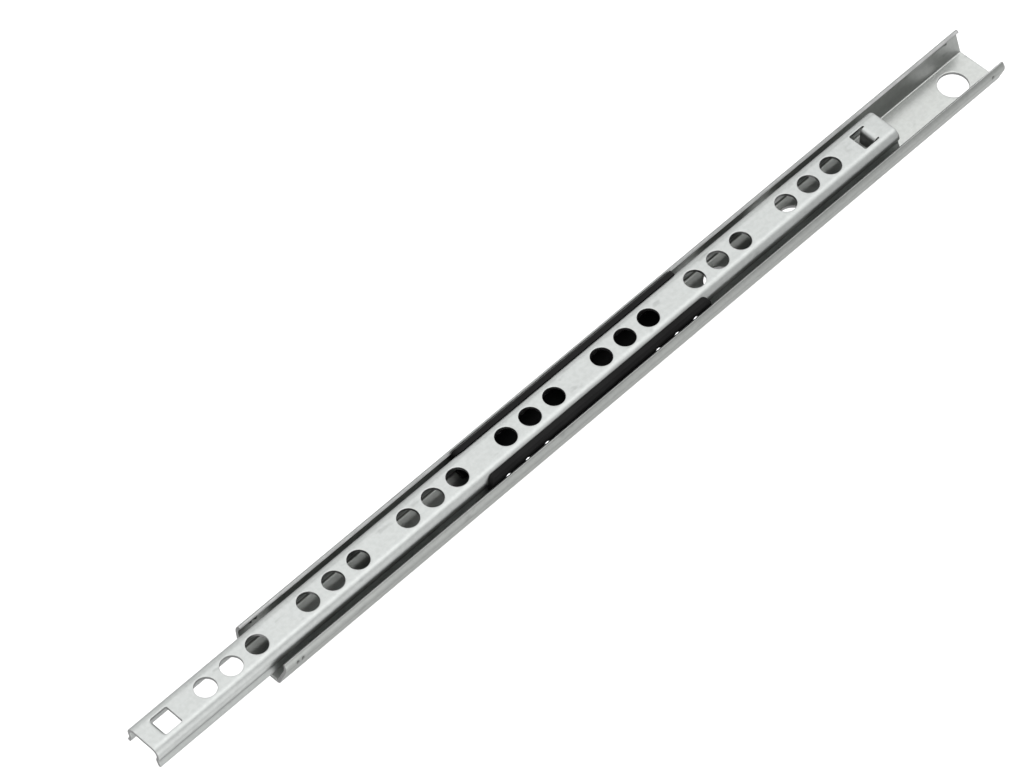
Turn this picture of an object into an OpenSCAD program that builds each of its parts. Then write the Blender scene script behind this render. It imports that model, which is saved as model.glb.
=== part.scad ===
// Two-piece ball-bearing drawer slide: an outer rail for the cabinet, an inner rail for the drawer,
// and a plastic cage of steel balls that rolls between them.
// X runs along the slide and +X is the way the drawer opens. Y runs across it. Z rises from the
// cabinet wall. The origin is the centre of the outer rail's back face.

/* [Rails] */
// Length of each rail
rail_length = 246.6; // [182.6:32:342.6]
// Overall width, across the outer rail
slide_width = 16.8; // [16.5:0.1:17.6]
// Overall thickness, from the cabinet wall to the drawer side
slide_height = 9.8; // [9.5:0.1:10.2]
// Thickness of the rolled steel sheet
sheet = 0.9; // [0.85:0.05:1]
// How far the inner rail is pulled out of the outer rail
pulled_out = 35.4; // [0:0.2:166]

/* [Balls and cage] */
// Diameter of each ball
ball_d = 2.4; // [2.35:0.05:2.45]
// Gap between a ball and each race
race_gap = 0.1; // [0.05:0.01:0.15]
// Distance between neighbouring balls in a group of three
ball_pitch = 6.4; // [5:0.1:7]
// Distance from the middle of the cage to the nearest ball of each group
first_ball = 18.8; // [6:0.1:20]
// Length of the cage
cage_length = 74; // [72:0.5:84]
// Thickness of the cage's two side arms
arm_width = 1.3; // [1.1:0.05:1.35]

/* [Holes] */
// Diameter of the screw holes in the inner rail
drawer_hole_d = 5.5; // [4:0.1:6]
// Distance between neighbouring holes in a group of three
hole_pitch = 8; // [7:0.5:9]
// Distance between the middles of neighbouring groups
group_pitch = 32; // [32]
// Diameter of the holes in the outer rail
cabinet_hole_d = 8; // [6:0.1:8.5]
// Distance from the middle of the outer rail to each inboard hole
inboard_hole_x = 29.6; // [22:0.2:34]
// Distance from the middle of the outer rail to the single rear hole
rear_hole_x = 55.6; // [45:0.2:60]
// Distance from each end of the outer rail to its end hole
end_hole_inset = 9.3; // [8.3:0.5:12.3]
// Length of the square holes, along the inner rail
window_length = 5; // [4.5:0.1:5.5]
// Width of the square holes, across the inner rail
window_width = 5.5; // [5:0.1:6]
// Distance from each end of the inner rail to the middle of its square hole
window_inset = 7.2; // [6.8:0.1:8]

/* [Hidden] */
$fn = 96;
over = 1;
arc_step = 6;

ball_r = ball_d / 2;
race_r = ball_r + race_gap;
race_y = slide_width / 2 - sheet - race_r;
race_z = slide_height - 3.75;
inner_x = pulled_out;
cage_x = pulled_out / 2;
ball_offsets = [for (s = [1, -1]) for (i = [0:2]) s * (first_ball + (s > 0 ? 2 - i : i) * ball_pitch)];

// Inner rail: shoulder bend, then the race bent the other way, ending in a straight lip
shoulder_r = 2.3;
shoulder_z = slide_height - shoulder_r;
shoulder_y = race_y - sqrt(pow(shoulder_r + race_r, 2) - pow(shoulder_z - race_z, 2));
bend_angle = atan2(shoulder_z - race_z, race_y - shoulder_y);
lip_angle = 22;
lip_length = 1.3;
group_count = floor((rail_length - 54) / group_pitch + 0.5) + 1;

// Outer rail: corner bend, leaning wall, then the race curled over the balls to a straight lip
corner_r = 1.3;
corner_y = race_y - 0.7;
curl_angle = 45;
curl_length = 0.4;
wall_run = norm([race_y - corner_y, race_z - corner_r]);
wall_angle = asin((race_r + sheet - corner_r) / wall_run)
    + atan((race_y - corner_y) / (race_z - corner_r));
flange_cut_z = 2;
flange_cut_back = 1;

// Stop dents in the outer rail's walls, at the level of the balls
dent_r = 1.1;
dent_rise = 0.55;
dent_z = race_z;
dent_pitch = 1.6;
front_dent_inset = 4.5;
rear_dent_inset = 4.3;

// Stop tab bent down from the rear square hole of the inner rail
tab_width = 4.6;
tab_bend_r = 1.5;
tab_drop = 3.4;
tab_root = 0.5;

// Cage section
floor_bottom = 1.5;
floor_top = 2.7;
arm_in = race_y - 0.85;
arm_out = arm_in + arm_width;
hook_r = shoulder_r + 0.25;
hook_angle = 45;
arm_top = shoulder_z + hook_r * sin(hook_angle);
pocket_r = ball_r + 0.06;
end_round = 1.6;
fork_width = 5.6;
fork_depth = 4;
bumper_length = 3;
bumper_width = 5.2;
bumper_top = 6.4;

function on_circle(c, r, a) = [c[0] + r * cos(a), c[1] + r * sin(a)];

// Points along a circle of centre c from angle a0 to angle a1
function arc(c, r, a0, a1) =
    let (steps = ceil(abs(a1 - a0) / arc_step))
    [for (i = [0:steps]) on_circle(c, r, a0 + (a1 - a0) * i / steps)];

// Outline of a section from its +Y half, listed from the middle plane round to the middle plane
function both_halves(half) = concat(half, [for (i = [len(half) - 1:-1:0]) [-half[i][0], half[i][1]]]);

// Extrudes a section drawn in Y and Z along X, centred on the origin
module along_x(length) {
    rotate([90, 0, 90]) translate([0, 0, -length / 2]) linear_extrude(length) children();
}

// Extrudes a shape drawn in X and Z along Y, centred on the origin
module along_y(width) {
    rotate([90, 0, 0]) translate([0, 0, -width / 2]) linear_extrude(width) children();
}

module inner_section() {
    shoulder = [shoulder_y, shoulder_z];
    race = [race_y, race_z];
    lip = lip_length * [sin(lip_angle), -cos(lip_angle)];
    polygon(both_halves(concat(
        arc(shoulder, shoulder_r, 90, -bend_angle),
        arc(race, race_r, 180 - bend_angle, 180 + lip_angle),
        [on_circle(race, race_r, 180 + lip_angle) + lip],
        [on_circle(race, race_r + sheet, 180 + lip_angle) + lip],
        arc(race, race_r + sheet, 180 + lip_angle, 180 - bend_angle),
        arc(shoulder, shoulder_r - sheet, -bend_angle, 90)
    )));
}

module outer_section() {
    corner = [corner_y, corner_r];
    race = [race_y, race_z];
    lip = curl_length * [-sin(curl_angle), cos(curl_angle)];
    polygon(both_halves(concat(
        arc(corner, corner_r, -90, -wall_angle),
        arc(race, race_r + sheet, -wall_angle, curl_angle),
        [on_circle(race, race_r + sheet, curl_angle) + lip],
        [on_circle(race, race_r, curl_angle) + lip],
        arc(race, race_r, curl_angle, -wall_angle),
        arc(corner, corner_r - sheet, -wall_angle, -90)
    )));
}

// The arms hook in over the inner rail's shoulders
module cage_section() {
    polygon(both_halves(concat(
        [[arm_in + 0.15, floor_bottom], [arm_out - 0.6, floor_top - 0.1], [arm_out, floor_top + 1.5]],
        [[arm_out, arm_top - 0.7], [arm_out - 0.55, arm_top]],
        arc([shoulder_y, shoulder_z], hook_r, hook_angle, 18),
        [[arm_in, race_z - 0.8], [arm_in + 0.4, race_z - 1.2]],
        [[arm_in + 0.4, race_z - 1.9], [arm_in - 0.05, floor_top]]
    )));
}

module hole(x, d, z) {
    translate([x, 0, z - over]) cylinder(d = d, h = sheet + 2 * over);
}

module stop_tab(x) {
    translate([x, 0, slide_height - tab_bend_r]) along_y(tab_width) polygon(concat(
        [[-tab_root, tab_bend_r - sheet], [-tab_root, tab_bend_r]],
        arc([0, 0], tab_bend_r, 90, 0),
        [[tab_bend_r, -tab_drop], [tab_bend_r - sheet, -tab_drop]],
        arc([0, 0], tab_bend_r - sheet, 0, 90)
    ));
}

module dent_bump(x, side) {
    intersection() {
        translate([x, side * (race_y + race_r - dent_rise + dent_r), dent_z]) sphere(r = dent_r);
        translate([x - dent_r, side > 0 ? race_y : -race_y - race_r - sheet / 2, dent_z - dent_r])
            cube([2 * dent_r, race_r + sheet / 2, 2 * dent_r]);
    }
}

module dent_hollow(x, side) {
    translate([x, side * slide_width / 2, dent_z]) sphere(r = dent_rise);
}

module outer_rail() {
    front = rail_length / 2;
    dents = [front - front_dent_inset, front - front_dent_inset - dent_pitch, rear_dent_inset - front];
    color("silver") difference() {
        union() {
            along_x(rail_length) outer_section();
            for (x = dents, side = [-1, 1]) dent_bump(x, side);
        }
        for (x = dents, side = [-1, 1]) dent_hollow(x, side);
        for (x = [inboard_hole_x, front - end_hole_inset], side = [-1, 1])
            hole(side * x, cabinet_hole_d, 0);
        hole(-rear_hole_x, cabinet_hole_d, 0);
        along_y(2 * slide_width) polygon([
            [front + over, flange_cut_z], [front, flange_cut_z],
            [front - flange_cut_back, race_z + race_r], [front - flange_cut_back, slide_height],
            [front + over, slide_height]
        ]);
    }
}

module inner_rail() {
    window_x = rail_length / 2 - window_inset;
    color("gainsboro") translate([inner_x, 0, 0]) {
        difference() {
            along_x(rail_length) inner_section();
            for (g = [0:group_count - 1], h = [-1:1])
                hole((g - (group_count - 1) / 2) * group_pitch + h * hole_pitch, drawer_hole_d,
                    slide_height - sheet);
            for (side = [-1, 1])
                translate([side * window_x, 0, slide_height])
                    cube([window_length, window_width, 3 * sheet], center = true);
        }
        stop_tab(-window_x - window_length / 2);
    }
}

module ball_cage() {
    half = cage_length / 2;
    color("black") translate([cage_x, 0, 0]) {
        difference() {
            along_x(cage_length) cage_section();
            for (x = ball_offsets)
                translate([x, 0, race_z]) rotate([90, 0, 0])
                    cylinder(r = pocket_r, h = slide_width, center = true);
            for (side = [-1, 1]) {
                translate([side * (half - fork_depth / 2 + over / 2), 0, floor_top])
                    cube([fork_depth + over, fork_width, 3 * floor_top], center = true);
                translate([side * half, 0, arm_top]) along_y(slide_width) difference() {
                    square(2 * end_round, center = true);
                    translate([-side * end_round, -end_round]) circle(r = end_round);
                }
            }
        }
        for (side = [-1, 1])
            translate([side * (half - fork_depth - bumper_length / 2), 0, (bumper_top + floor_bottom) / 2])
                cube([bumper_length, bumper_width, bumper_top - floor_bottom], center = true);
    }
}

module ball(i, side) {
    color("whitesmoke") translate([cage_x + ball_offsets[i - 1], side * race_y, race_z]) sphere(r = ball_r);
}

outer_rail();
inner_rail();
ball_cage();
for (i = [1:6]) {
    ball(i, 1);
    ball(i, -1);
}
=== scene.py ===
"""Looks for the two-piece ball-bearing drawer slide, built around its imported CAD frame.

Lengths are in millimetres and are scaled to metres as each mesh is made. The lights and the
camera are placed in metres.
X runs along the slide, Y across it, and Z rises from the cabinet wall, as in the frame.
"""

import math

import bpy
from mathutils import Matrix, Vector


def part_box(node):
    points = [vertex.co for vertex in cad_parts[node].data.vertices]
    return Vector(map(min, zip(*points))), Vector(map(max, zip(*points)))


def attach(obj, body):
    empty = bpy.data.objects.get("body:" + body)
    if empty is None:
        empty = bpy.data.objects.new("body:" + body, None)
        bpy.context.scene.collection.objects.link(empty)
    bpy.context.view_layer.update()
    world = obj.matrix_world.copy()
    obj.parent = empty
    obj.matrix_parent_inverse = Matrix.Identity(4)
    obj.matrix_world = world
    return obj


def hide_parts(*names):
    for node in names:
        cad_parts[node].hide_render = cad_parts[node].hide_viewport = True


MM = 0.001

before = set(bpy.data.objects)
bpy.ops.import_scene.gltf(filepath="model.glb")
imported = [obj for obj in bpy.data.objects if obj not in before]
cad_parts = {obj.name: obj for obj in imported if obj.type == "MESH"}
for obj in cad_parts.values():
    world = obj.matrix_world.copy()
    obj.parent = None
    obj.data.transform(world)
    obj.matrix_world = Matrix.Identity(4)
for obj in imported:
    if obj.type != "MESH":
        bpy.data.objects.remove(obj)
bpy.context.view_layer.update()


def node_box(node):
    """A CAD node's lowest and highest corners, in millimetres."""
    low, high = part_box(node)
    return low / MM, high / MM


OUTER_LOW, OUTER_HIGH = node_box("outer_rail")
INNER_LOW, INNER_HIGH = node_box("inner_rail")

# Sizes that both rails share
SHEET = 0.9
HALF_LENGTH = (OUTER_HIGH.x - OUTER_LOW.x) / 2
INNER_X = (INNER_LOW.x + INNER_HIGH.x) / 2
TOP = INNER_HIGH.z
RACE_R = 1.3
RACE_Y = OUTER_HIGH.y - SHEET - RACE_R
RACE_Z = TOP - 3.75

# Inner rail
SHOULDER_R = 2.3
SHOULDER_Z = TOP - SHOULDER_R
SHOULDER_Y = RACE_Y - math.sqrt((SHOULDER_R + RACE_R) ** 2 - (SHOULDER_Z - RACE_Z) ** 2)
BEND_ANGLE = math.degrees(math.atan2(SHOULDER_Z - RACE_Z, RACE_Y - SHOULDER_Y))
LIP_ANGLE = 22
LIP_LENGTH = 1.3
GROUPS = 7
GROUP_PITCH = 32
HOLE_PITCH = 8
DRAWER_HOLE_R = 2.75
WINDOW_LENGTH = 5
WINDOW_WIDTH = 5.5
WINDOW_CORNER = 0.35
ROLLED_DROP = 0.35
ROLLED_LENGTH = 0.9
WINDOW_X = HALF_LENGTH - 7.2
TAB_HALF_WIDTH = 2.3
TAB_BEND_R = 1.5
TAB_DROP = 3.4

# Outer rail
CORNER_R = 1.3
CORNER_Y = RACE_Y - 0.7
CURL_ANGLE = 45
CURL_LENGTH = 0.4
WALL_RUN = math.hypot(RACE_Y - CORNER_Y, RACE_Z - CORNER_R)
WALL_TURN = math.asin((RACE_R + SHEET - CORNER_R) / WALL_RUN)
WALL_ANGLE = math.degrees(WALL_TURN + math.atan((RACE_Y - CORNER_Y) / (RACE_Z - CORNER_R)))
WALL_LENGTH = WALL_RUN * math.cos(WALL_TURN)
CABINET_HOLE_R = 4
INBOARD_X = 29.6
REAR_X = 55.6
END_X = HALF_LENGTH - 9.3
CUT_Z = 2
CUT_TOP_Z = RACE_Z + RACE_R
CUT_BACK = 1
CUT_START = 3.5
DENT_X = (HALF_LENGTH - 4.5, HALF_LENGTH - 6.1, 4.3 - HALF_LENGTH)
DENT_Z = RACE_Z
DENT_DEPTH = 0.5
DENT_SPREAD = 0.7

# Brightness of each rail's zinc by height, as (z, brightness): painted highlight and painted
# shade, set to give the light and dark bands along the rails their tone, so it is no real finish
# or wear.
OUTER_PAINTED_LIGHT_BANDS = ((6.8, 1), (7.4, 0.86), (7.7, 0.7))
INNER_PAINTED_LIGHT_BANDS = (
    (2.4, 0.625),
    (3, 0.75),
    (6.2, 0.75),
    (6.8, 1),
    (7.8, 1),
    (8.2, 0.87),
    (8.5, 0.75),
    (9, 0.7),
    (9.4, 0.625),
)

# How finely the sheets are meshed, and how round their cut edges are
ARC_STEP = 6
FLAT_STEP = 0.3
WEB_STEP = 2.5
DENT_STEP = 0.25
EDGE_ROUND = 0.1
SLIT_ROUND = 0.14
EDGE_STEPS = 3

# How far the floor lies below the slide's back, and half its width
FLOOR_DROP = 40
FLOOR_HALF = 2500


# ---- Sheet-metal meshes -------------------------------------------------------------------


class Section:
    """The +Y half of a bent strip's section, followed along the middle of its sheet.

    runs holds (radius, turn in degrees) for each bend and (length, 0) for each straight.
    """

    def __init__(self, height, runs):
        self.pieces = []
        y, z, angle, s = 0.0, height, 0.0, 0.0
        for size, turn in runs:
            length = size * math.radians(abs(turn)) if turn else size
            self.pieces.append((s, s + length, y, z, angle, size, turn))
            y, z, angle = self.follow(self.pieces[-1], length)
            s += length
        self.length = s - SLIT_ROUND

    @staticmethod
    def follow(piece, along):
        """The place and direction at a distance along one bend or straight."""
        _, _, y, z, angle, size, turn = piece
        if not turn:
            a = math.radians(angle)
            return y + along * math.cos(a), z + along * math.sin(a), angle
        way = math.copysign(1, turn)
        end = angle + way * math.degrees(along / size)
        a, b = math.radians(angle), math.radians(end)
        return (
            y + way * size * (math.sin(b) - math.sin(a)),
            z - way * size * (math.cos(b) - math.cos(a)),
            end,
        )

    def fold(self, s):
        """(y, z, normal y, normal z) at s, the distance from the middle across the flat blank."""
        side, s = math.copysign(1, s), min(abs(s), self.length)
        piece = next(p for p in self.pieces if s <= p[1] + 1e-9)
        y, z, angle = self.follow(piece, s - piece[0])
        a = math.radians(angle)
        return side * y, z, -side * math.sin(a), math.cos(a)

    def stations(self, low, high):
        """Distances from low to high that follow every bend closely."""
        found = [low]
        for start, end, *_, size, turn in self.pieces:
            a, b = max(start, low), min(end, high)
            if b - a < 1e-6:
                continue
            fine = size * math.radians(ARC_STEP) if turn else FLAT_STEP
            steps = max(1, math.ceil((b - a) / fine))
            found += [a + (b - a) * i / steps for i in range(1, steps + 1)]
        return found


class Sheet:
    """A strip of sheet, drawn flat as its blank in x and s, then folded and thickened.

    The blank stops EDGE_ROUND short of every sheared edge and SLIT_ROUND short of the two slit
    edges along it. The rounded rims make up the rest.
    """

    def __init__(self, section, cell_half):
        self.section = section
        self.points, self.quads, self.seen = [], [], {}
        across = section.stations(0, cell_half)
        self.across = [-s for s in across[:0:-1]] + across
        self.flank = section.stations(cell_half, section.length)
        self.stations = []

    def point(self, x, s):
        """The index of a point of the blank. Points at the same place are one point."""
        key = (round(x, 3), round(s, 3))
        if key not in self.seen:
            self.seen[key] = len(self.points)
            self.points.append(Vector((x, s, 0)))
        return self.seen[key]

    def grid(self, rows):
        """Joins rows of point indices, each as long as the last, into faces."""
        for near, far in zip(rows, rows[1:]):
            for i in range(len(near) - 1):
                corners = (near[i], far[i], far[i + 1], near[i + 1])
                kept = tuple(dict.fromkeys(corners))
                if len(kept) > 2:
                    self.quads.append(kept)

    def cell(self, x0, x1, steps, hole=None, rings=6):
        """A stretch of the web from x0 to x1, plain or pierced by one hole.

        hole is (middle x, half length, half width, corner radius). Returns the hole's outline
        as point indices.
        """
        xs = [x0 + (x1 - x0) * i / steps for i in range(steps + 1)]
        self.stations += xs[bool(self.stations) :]
        if hole is None:
            self.grid([[self.point(x, s) for s in self.across] for x in xs])
            return []
        middle, *sizes = hole
        low, high = self.across[0], self.across[-1]
        border = [(x, low) for x in xs[:-1]] + [(x1, s) for s in self.across[:-1]]
        border += [(x, high) for x in xs[:0:-1]] + [(x0, s) for s in self.across[:0:-1]]
        sizes = [size + EDGE_ROUND for size in sizes]
        edge = [outline(x - middle, s, *sizes) for x, s in border]
        rows = []
        for k in range(rings + 1):
            t = k / rings
            row = [
                self.point((middle + ex) * (1 - t) + bx * t, es * (1 - t) + bs * t)
                for (ex, es), (bx, bs) in zip(edge, border)
            ]
            rows.append(row + row[:1])
        self.grid(rows)
        return rows[0][:-1]

    def fold(self, shift=0.0):
        """Draws the flanks, then bends the blank to its section and moves it along x."""
        for side in (1, -1):
            strips = [
                [self.point(x, side * s) for s in self.flank][::side] for x in self.stations
            ]
            self.grid(strips)
        end = self.section.length - 1e-6
        self.slit = {i for i, p in enumerate(self.points) if abs(p.y) > end}
        self.normals, self.pressed = [], [0.0] * len(self.points)
        for i, p in enumerate(self.points):
            y, z, ny, nz = self.section.fold(p.y)
            self.points[i] = Vector((p.x + shift, y, z))
            self.normals.append(Vector((0, ny, nz)))

    def warp(self, move):
        """Moves each point to where move(position, normal) says."""
        moved = [move(p, n) for p, n in zip(self.points, self.normals)]
        for i, (p, q, n) in enumerate(zip(self.points, moved, self.normals)):
            self.pressed[i] += abs((q - p).dot(n))
        self.points = moved

    def thicken(self, name):
        """A mesh object of the sheet's thickness.

        Its sheared attribute is 1 on the cut faces of its ends and holes, and slit is 1 on those
        of its two long edges. Its pressed attribute is how far the sheet was pushed out of its
        plane, in millimetres, and 0 on the rounded rims.
        """
        half, count = SHEET / 2, len(self.points)
        verts = [p + n * half for p, n in zip(self.points, self.normals)]
        verts += [p - n * half for p, n in zip(self.points, self.normals)]
        faces = list(self.quads) + [tuple(i + count for i in q[::-1]) for q in self.quads]
        border = set()
        for q in self.quads:
            for a, b in zip(q, q[1:] + q[:1]):
                border.symmetric_difference_update({(a, b)} if (b, a) not in border else {(b, a)})
        rim = self.rim_columns(border, verts)
        sheared, slit = [0.0] * len(faces), [0.0] * len(faces)
        for a, b in border:
            lengthwise = {a, b} <= self.slit
            for k in range(len(rim[a]) - 1):
                faces.append((rim[b][k], rim[a][k], rim[a][k + 1], rim[b][k + 1]))
                sheared.append(float(k == EDGE_STEPS and not lengthwise))
                slit.append(float(k == EDGE_STEPS and lengthwise))
        mesh = bpy.data.meshes.new(name)
        mesh.from_pydata([v * MM for v in verts], [], faces)
        for label, values in (("sheared", sheared), ("slit", slit)):
            mesh.attributes.new(label, "FLOAT", "FACE").data.foreach_set("value", values)
        on_rims = [0.0] * (len(verts) - 2 * count)
        pressed = mesh.attributes.new("pressed", "FLOAT", "POINT")
        pressed.data.foreach_set("value", self.pressed * 2 + on_rims)
        mesh.validate()
        mesh.update()
        piece = bpy.data.objects.new(name, mesh)
        bpy.context.scene.collection.objects.link(piece)
        return piece

    def rim_columns(self, border, verts):
        """Adds the rounded rim's points to verts. Each border point gets its column of indices."""
        sides = {}
        for a, b in border:
            along = self.points[b] - self.points[a]
            out = along.cross(self.normals[a] + self.normals[b]).normalized()
            reach = SLIT_ROUND if {a, b} <= self.slit else EDGE_ROUND
            for i in (a, b):
                sides.setdefault(i, []).append((out, reach))
        turns = [math.radians(90 * k / EDGE_STEPS) for k in range(1, EDGE_STEPS + 1)]
        columns = {}
        for i, ((a, reach_a), (b, reach_b)) in sides.items():
            c, drop = a.dot(b), min(reach_a, reach_b)
            if c > 0.9:
                out = (a + b).normalized() * drop
            else:
                out = (a * (reach_a - c * reach_b) + b * (reach_b - c * reach_a)) / (1 - c * c)
            first = len(verts)
            for way, turn in [(1, t) for t in turns] + [(-1, t) for t in reversed(turns)]:
                up = way * (SHEET / 2 - drop * (1 - math.cos(turn)))
                verts.append(self.points[i] + out * math.sin(turn) + self.normals[i] * up)
            columns[i] = [i, *range(first, len(verts)), i + len(self.points)]
        return columns


def outline(dx, dy, half_x, half_y, corner):
    """Where a ray from the middle of a rounded rectangle meets its outline."""
    reach = min(half_x / abs(dx) if dx else math.inf, half_y / abs(dy) if dy else math.inf)
    x, y = dx * reach, dy * reach
    if abs(x) > half_x - corner and abs(y) > half_y - corner:
        cx = math.copysign(half_x - corner, dx)
        cy = math.copysign(half_y - corner, dy)
        along = (dx * cx + dy * cy) / (dx * dx + dy * dy)
        off = (cx * cx + cy * cy - corner * corner) / (dx * dx + dy * dy)
        reach = along + math.sqrt(max(0.0, along * along - off))
        x, y = dx * reach, dy * reach
    return x, y


def finish_sheet(piece, material):
    """Shades a sheet smooth, with its flat parts flat."""
    for face in piece.data.polygons:
        face.use_smooth = True
    weighted = piece.modifiers.new("flat_faces", "WEIGHTED_NORMAL")
    weighted.weight = 50
    weighted.keep_sharp = True
    piece.data.materials.append(material)
    return piece


def inner_rail_sheet():
    """Seven groups of three round holes, and a square hole near each end."""
    section = Section(
        TOP - SHEET / 2,
        [
            (SHOULDER_Y, 0),
            (SHOULDER_R - SHEET / 2, -90 - BEND_ANGLE),
            (RACE_R + SHEET / 2, BEND_ANGLE + LIP_ANGLE),
            (LIP_LENGTH, 0),
        ],
    )
    sheet = Sheet(section, SHOULDER_Y + 1)
    half_cell = HOLE_PITCH / 2
    near = WINDOW_X - WINDOW_LENGTH / 2 - 1.5
    far = WINDOW_X + WINDOW_LENGTH / 2 + 1.5
    window = (WINDOW_LENGTH / 2, WINDOW_WIDTH / 2, WINDOW_CORNER)
    first = -(GROUPS - 1) / 2 * GROUP_PITCH - HOLE_PITCH - half_cell
    sheet.cell(EDGE_ROUND - HALF_LENGTH, -far, 5)
    rear_window = sheet.cell(-far, -near, 16, (-WINDOW_X, *window))
    sheet.cell(-near, first, 4)
    for g in range(GROUPS):
        for h in (-1, 0, 1):
            x = (g - (GROUPS - 1) / 2) * GROUP_PITCH + h * HOLE_PITCH
            hole = (x, DRAWER_HOLE_R, DRAWER_HOLE_R, DRAWER_HOLE_R)
            sheet.cell(x - half_cell, x + half_cell, 16, hole)
        if g < GROUPS - 1:
            sheet.cell(x + half_cell, x + half_cell + HOLE_PITCH, 6)
    sheet.cell(-first, near, 4)
    sheet.cell(near, far, 16, (WINDOW_X, *window))
    sheet.cell(far, HALF_LENGTH - EDGE_ROUND, 5)
    sheet.fold(INNER_X)
    sheet.warp(rolled_edge)
    stop_tab(sheet, rear_window)
    return sheet


def rolled_edge(p, n):
    """Bends the front edge of the front window down a little."""
    off = (p.x - INNER_X - WINDOW_X - WINDOW_LENGTH / 2) / ROLLED_LENGTH
    if not 0 <= off < 1 or abs(p.y) > WINDOW_WIDTH / 2:
        return p
    side = 1 - (2 * p.y / WINDOW_WIDTH) ** 4
    return p - n * ROLLED_DROP * side * (1 - off) ** 2


def stop_tab(sheet, window_edge):
    """The tab bent down from the rear edge of the rear window."""
    root_x = INNER_X - WINDOW_X - WINDOW_LENGTH / 2
    half_width = TAB_HALF_WIDTH - EDGE_ROUND
    root = [i for i in window_edge if abs(sheet.points[i].x + EDGE_ROUND - root_x) < 1e-3]
    root.sort(key=lambda i: sheet.points[i].y)
    for side in (-1, 1):
        corner = min(root, key=lambda i: abs(sheet.points[i].y - side * half_width))
        sheet.points[corner].y = side * half_width
    root = [i for i in root if abs(sheet.points[i].y) <= half_width + 1e-3]
    bend_z, bend_r = TOP - TAB_BEND_R, TAB_BEND_R - SHEET / 2
    bend = [math.radians(a) for a in range(80, -1, -10)]
    path = [(bend_r * math.cos(a), bend_z + bend_r * math.sin(a), a) for a in bend]
    path += [(bend_r, bend_z - (TAB_DROP - EDGE_ROUND) * k / 4, 0) for k in range(1, 5)]
    rows = [root]
    for dx, z, a in path:
        first = len(sheet.points)
        for i in root:
            sheet.points.append(Vector((root_x + dx, sheet.points[i].y, z)))
            sheet.normals.append(Vector((math.cos(a), 0, math.sin(a))))
            sheet.pressed.append(0.0)
        rows.append(list(range(first, len(sheet.points))))
    sheet.grid(rows)


def outer_rail_sheet():
    """Five round holes, stop dents in both walls, and walls slanted back at the front."""
    section = Section(
        SHEET / 2,
        [
            (CORNER_Y, 0),
            (CORNER_R - SHEET / 2, 90 - WALL_ANGLE),
            (WALL_LENGTH, 0),
            (RACE_R + SHEET / 2, WALL_ANGLE + CURL_ANGLE),
            (CURL_LENGTH, 0),
        ],
    )
    sheet = Sheet(section, CORNER_Y)
    half_cell = CABINET_HOLE_R + 1
    x = EDGE_ROUND - HALF_LENGTH
    for middle in (-END_X, -REAR_X, -INBOARD_X, INBOARD_X, END_X):
        start, end = middle - half_cell, middle + half_cell
        step = DENT_STEP if middle == -END_X else WEB_STEP
        sheet.cell(x, start, max(2, round((start - x) / step)))
        hole = (middle, CABINET_HOLE_R, CABINET_HOLE_R, CABINET_HOLE_R)
        sheet.cell(start, end, 40 if abs(middle) == END_X else 20, hole)
        x = end
    sheet.cell(x, HALF_LENGTH - EDGE_ROUND, 24)
    sheet.fold()
    sheet.warp(dent)
    sheet.warp(cut_back)
    return sheet


def dent(p, n):
    """Pushes the walls in at the stop dents."""
    depth = 0
    for x in DENT_X:
        off = math.hypot(p.x - x, p.z - DENT_Z) / DENT_SPREAD
        if abs(p.y) > RACE_Y and off < 1:
            depth = max(depth, DENT_DEPTH * (0.5 + 0.5 * math.cos(math.pi * off)))
    return p + n * depth


def cut_back(p, n):
    """Slants the front ends of the walls back."""
    start = HALF_LENGTH - CUT_START
    if p.x <= start:
        return p
    rise = min(1, max(0, (p.z - CUT_Z) / (CUT_TOP_Z - CUT_Z)))
    return Vector((start + (p.x - start) * (1 - CUT_BACK * rise / CUT_START), p.y, p.z))


# ---- Materials ----------------------------------------------------------------------------


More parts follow.
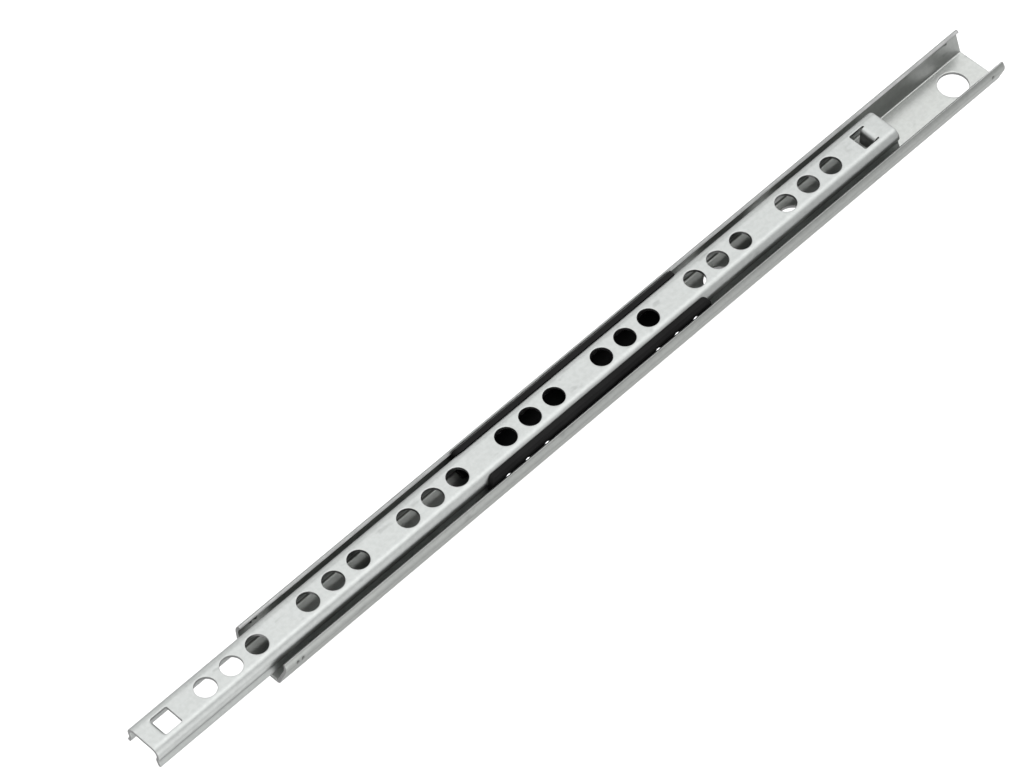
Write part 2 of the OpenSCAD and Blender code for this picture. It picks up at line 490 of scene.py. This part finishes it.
class Shader:
    """A node material, made one node at a time."""

    def __init__(self, name):
        self.material = bpy.data.materials.new(name)
        self.material.use_nodes = True
        self.tree = self.material.node_tree
        self.tree.nodes.clear()
        self.output = self.node("ShaderNodeOutputMaterial")
        self.bsdf = self.node("ShaderNodeBsdfPrincipled")
        self.link(self.bsdf.outputs["BSDF"], self.output.inputs["Surface"])
        self.place = self.node("ShaderNodeTexCoord").outputs["Object"]

    def node(self, kind, **settings):
        made = self.tree.nodes.new(kind)
        for key, value in settings.items():
            setattr(made, key, value)
        return made

    def link(self, source, target):
        self.tree.links.new(source, target)

    def noise(self, scale, detail=3, stretch=(1, 1, 1), roughness=0.5):
        """Noise over the object's own coordinates, in features per metre."""
        mapping = self.node("ShaderNodeMapping")
        mapping.inputs["Scale"].default_value = stretch
        self.link(self.place, mapping.inputs["Vector"])
        made = self.node("ShaderNodeTexNoise")
        made.inputs["Scale"].default_value = scale
        made.inputs["Detail"].default_value = detail
        made.inputs["Roughness"].default_value = roughness
        self.link(mapping.outputs["Vector"], made.inputs["Vector"])
        return made.outputs["Fac"]

    def ramp(self, source, *stops):
        """Colours or greys at places along a value from 0 to 1."""
        made = self.node("ShaderNodeValToRGB")
        elements = made.color_ramp.elements
        for k, (place, colour) in enumerate(stops):
            element = elements[k] if k < 2 else elements.new(place)
            element.position = place
            element.color = (*colour, 1) if isinstance(colour, tuple) else (colour,) * 3 + (1,)
        self.link(source, made.inputs["Fac"])
        return made.outputs["Color"]

    def mix(self, factor, a, b, blend="MIX"):
        """a mixed with b; each is a socket or a colour."""
        made = self.node("ShaderNodeMix", data_type="RGBA", blend_type=blend)
        for value, socket in zip((factor, a, b), (0, 6, 7)):
            if isinstance(value, bpy.types.NodeSocket):
                self.link(value, made.inputs[socket])
            else:
                made.inputs[socket].default_value = value if socket == 0 else (*value, 1)
        return made.outputs[2]

    def bump(self, height, distance, base=None):
        """A normal raised by height times a distance in metres, on top of another bump."""
        made = self.node("ShaderNodeBump")
        made.inputs["Distance"].default_value = distance
        self.link(height, made.inputs["Height"])
        if base:
            self.link(base, made.inputs["Normal"])
        return made.outputs["Normal"]


def zinc(name, tone, rough, painted_light_bands):
    """Bright zinc plate on rolled steel, with cloudy tone and faint rolling lines.

    The last argument lists (z, brightness): painted highlight and painted shade by height. Cut
    faces have tones of their own, and pressed places are darkened with painted shade.
    """
    s = Shader(name)
    clouds = s.noise(90, detail=4, stretch=(0.6, 1, 1))
    specks = s.noise(900, detail=3)
    lines = s.noise(60, detail=4, stretch=(0.12, 14, 14), roughness=0.6)

    def shade(gain):
        return tuple(min(1, c * gain) for c in tone)

    colour = s.ramp(clouds, (0.3, shade(0.95)), (0.7, shade(1.05)))
    colour = s.mix(0.12, colour, s.ramp(lines, (0.35, shade(0.75)), (0.65, shade(1.25))))
    colour = s.mix(0.12, colour, s.ramp(specks, (0.4, shade(0.75)), (0.6, shade(1.25))))
    marks = s.ramp(s.noise(330, detail=2, stretch=(0.5, 1, 1)), (0.66, 0), (0.74, 0.3))
    colour = s.mix(marks, colour, shade(0.4))
    # Painted highlight and painted shade: the tone is multiplied by a brightness set by height.
    height = s.node("ShaderNodeSeparateXYZ")
    s.link(s.place, height.inputs["Vector"])
    level = s.node("ShaderNodeMapRange")
    level.inputs["From Max"].default_value = TOP * MM
    s.link(height.outputs["Z"], level.inputs["Value"])
    painted_light = s.ramp(level.outputs["Result"], *((z / TOP, gain) for z, gain in painted_light_bands))
    colour = s.mix(1, colour, painted_light, "MULTIPLY")
    for label, dark, light in (("sheared", 0.17, 0.24), ("slit", 0.36, 0.46)):
        grain = s.noise(500, stretch=(1, 1, 0.2))
        cut = s.node("ShaderNodeAttribute", attribute_name=label).outputs["Fac"]
        colour = s.mix(cut, colour, s.ramp(grain, (0.3, dark), (0.7, light)))
    # Painted shade: the dents and the rolled window edge are darkened by how far they were
    # pressed.
    pressed = s.node("ShaderNodeAttribute", attribute_name="pressed").outputs["Fac"]
    colour = s.mix(s.ramp(pressed, (0.02, 0), (0.3, 0.8)), colour, shade(0.15))
    s.link(colour, s.bsdf.inputs["Base Color"])
    s.bsdf.inputs["Metallic"].default_value = 1
    s.bsdf.inputs["Specular Tint"].default_value = (0.75, 0.75, 0.75, 1)
    uneven = s.mix(0.5, clouds, lines)
    s.link(s.ramp(uneven, (0.3, rough - 0.05), (0.7, rough + 0.06)), s.bsdf.inputs["Roughness"])
    fine = s.bump(lines, 0.000006)
    s.link(s.bump(specks, 0.000006, base=fine), s.bsdf.inputs["Normal"])
    return s.material


def plastic(name):
    """Satin black moulded plastic."""
    s = Shader(name)
    grain = s.noise(1500, detail=3)
    patches = s.noise(120, detail=3)
    s.link(
        s.ramp(patches, (0.3, (0.004, 0.004, 0.004)), (0.7, (0.007, 0.007, 0.007))),
        s.bsdf.inputs["Base Color"],
    )
    s.link(s.ramp(patches, (0.3, 0.42), (0.7, 0.55)), s.bsdf.inputs["Roughness"])
    s.bsdf.inputs["Specular IOR Level"].default_value = 0.04
    s.link(s.bump(grain, 0.000008), s.bsdf.inputs["Normal"])
    return s.material


def ball_steel(name):
    """Polished bearing steel."""
    s = Shader(name)
    haze = s.noise(700, detail=3)
    s.link(
        s.ramp(haze, (0.3, (0.66, 0.67, 0.68)), (0.7, (0.76, 0.76, 0.77))),
        s.bsdf.inputs["Base Color"],
    )
    s.bsdf.inputs["Metallic"].default_value = 1
    s.link(s.ramp(haze, (0.3, 0.05), (0.7, 0.12)), s.bsdf.inputs["Roughness"])
    return s.material


# ---- The pieces ---------------------------------------------------------------------------


def make_pieces():
    outer_zinc = zinc("outer_zinc", (0.292, 0.3, 0.291), 0.38, OUTER_PAINTED_LIGHT_BANDS)
    inner_zinc = zinc("inner_zinc", (0.437, 0.451, 0.443), 0.40, INNER_PAINTED_LIGHT_BANDS)
    for name, sheet, material, body, slot in (
        ("outer_rail_steel", outer_rail_sheet(), outer_zinc, "outer_rail", "outer_steel"),
        ("inner_rail_steel", inner_rail_sheet(), inner_zinc, "inner_rail", "inner_steel"),
    ):
        piece = finish_sheet(sheet.thicken(name), material)
        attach(piece, body)
        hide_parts(body)
    black, steel = plastic("black_plastic"), ball_steel("ball_steel_polish")
    for node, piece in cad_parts.items():
        if node == "ball_cage":
            dress(piece, black)
            soften(piece, 0.15)
        elif node.startswith("ball_"):
            dress(piece, steel)


def dress(piece, material):
    """Gives a CAD part its material and smooth shading."""
    piece.data.materials.clear()
    piece.data.materials.append(material)
    for face in piece.data.polygons:
        face.use_smooth = True


def soften(piece, radius):
    """Rounds a CAD part's moulded edges."""
    bevel = piece.modifiers.new("edge_round", "BEVEL")
    bevel.width = radius * MM
    bevel.segments = 2
    bevel.limit_method = "ANGLE"
    bevel.angle_limit = math.radians(40)
    weighted = piece.modifiers.new("flat_faces", "WEIGHTED_NORMAL")
    weighted.weight = 50


# ---- Stage: floor, light and camera -------------------------------------------------------


def make_stage():
    mesh = bpy.data.meshes.new("floor")
    s = FLOOR_HALF * MM
    mesh.from_pydata([(-s, -s, 0), (s, -s, 0), (s, s, 0), (-s, s, 0)], [], [(0, 1, 2, 3)])
    floor = bpy.data.objects.new("floor", mesh)
    floor.location.z = -FLOOR_DROP * MM
    bpy.context.scene.collection.objects.link(floor)
    paper = Shader("paper")
    paper.link(
        paper.ramp(paper.noise(40), (0.3, 0.6), (0.7, 0.62)), paper.bsdf.inputs["Base Color"]
    )
    paper.bsdf.inputs["Roughness"].default_value = 0.9
    paper.bsdf.inputs["Specular IOR Level"].default_value = 0.2
    floor.data.materials.append(paper.material)


def make_lights():
    """A pale room, a broad softbox overhead with a narrow one below it, and one each side."""
    world = bpy.data.worlds.new("studio")
    world.use_nodes = True
    background = world.node_tree.nodes["Background"]
    background.inputs["Color"].default_value = (1, 1, 1, 1)
    background.inputs["Strength"].default_value = 1.1
    bpy.context.scene.world = world
    softbox("overhead", (-0.2, -0.13, 1.25), (2.2, 1.76), 1.9, (0, 0, -1))
    softbox("strip", (-0.5, 0.10, 1.15), (1.2, 0.24), 1.6, (0, 0, -1))
    softbox("side", (0.14, 0.5, 0.23), (0.46, 0.54), 1.8, (0, -1, 0))
    softbox("back", (-0.15, -0.6, 0.27), (1.1, 0.46), 1.1, (0, 1, 0))


def softbox(name, place, size, brightness, facing):
    """A rectangular light with its first side along X. brightness is its radiance."""
    data = bpy.data.lights.new(name, "AREA")
    data.shape = "RECTANGLE"
    data.size, data.size_y = size
    data.energy = brightness * math.pi * size[0] * size[1]
    lamp = bpy.data.objects.new(name, data)
    lamp.location = place
    lamp.rotation_euler = Vector(facing).to_track_quat("-Z", "Y").to_euler()
    bpy.context.scene.collection.objects.link(lamp)


def make_camera():
    """The view down the slide from above its front end."""
    data = bpy.data.cameras.new("camera")
    data.sensor_width = 36
    data.lens = 170.35
    data.clip_start, data.clip_end = 0.05, 20
    camera = bpy.data.objects.new("camera", data)
    azimuth, elevation, roll, distance = 135.885, 53.595, -1.72, 1.13566
    a, e = math.radians(azimuth), math.radians(elevation)
    back = Vector((math.sin(a) * math.cos(e), -math.cos(a) * math.cos(e), math.sin(e)))
    aim = Vector((0.03093, -0.01090, 0.0049))
    turn = (-back).to_track_quat("-Z", "Y").to_matrix().to_4x4()
    camera.matrix_world = (
        Matrix.Translation(aim + back * distance)
        @ turn
        @ Matrix.Rotation(math.radians(roll), 4, "Z")
    )
    bpy.context.scene.collection.objects.link(camera)
    bpy.context.scene.camera = camera


make_camera()
make_stage()
make_lights()
make_pieces()
bpy.context.scene.view_settings.view_transform = "Standard"
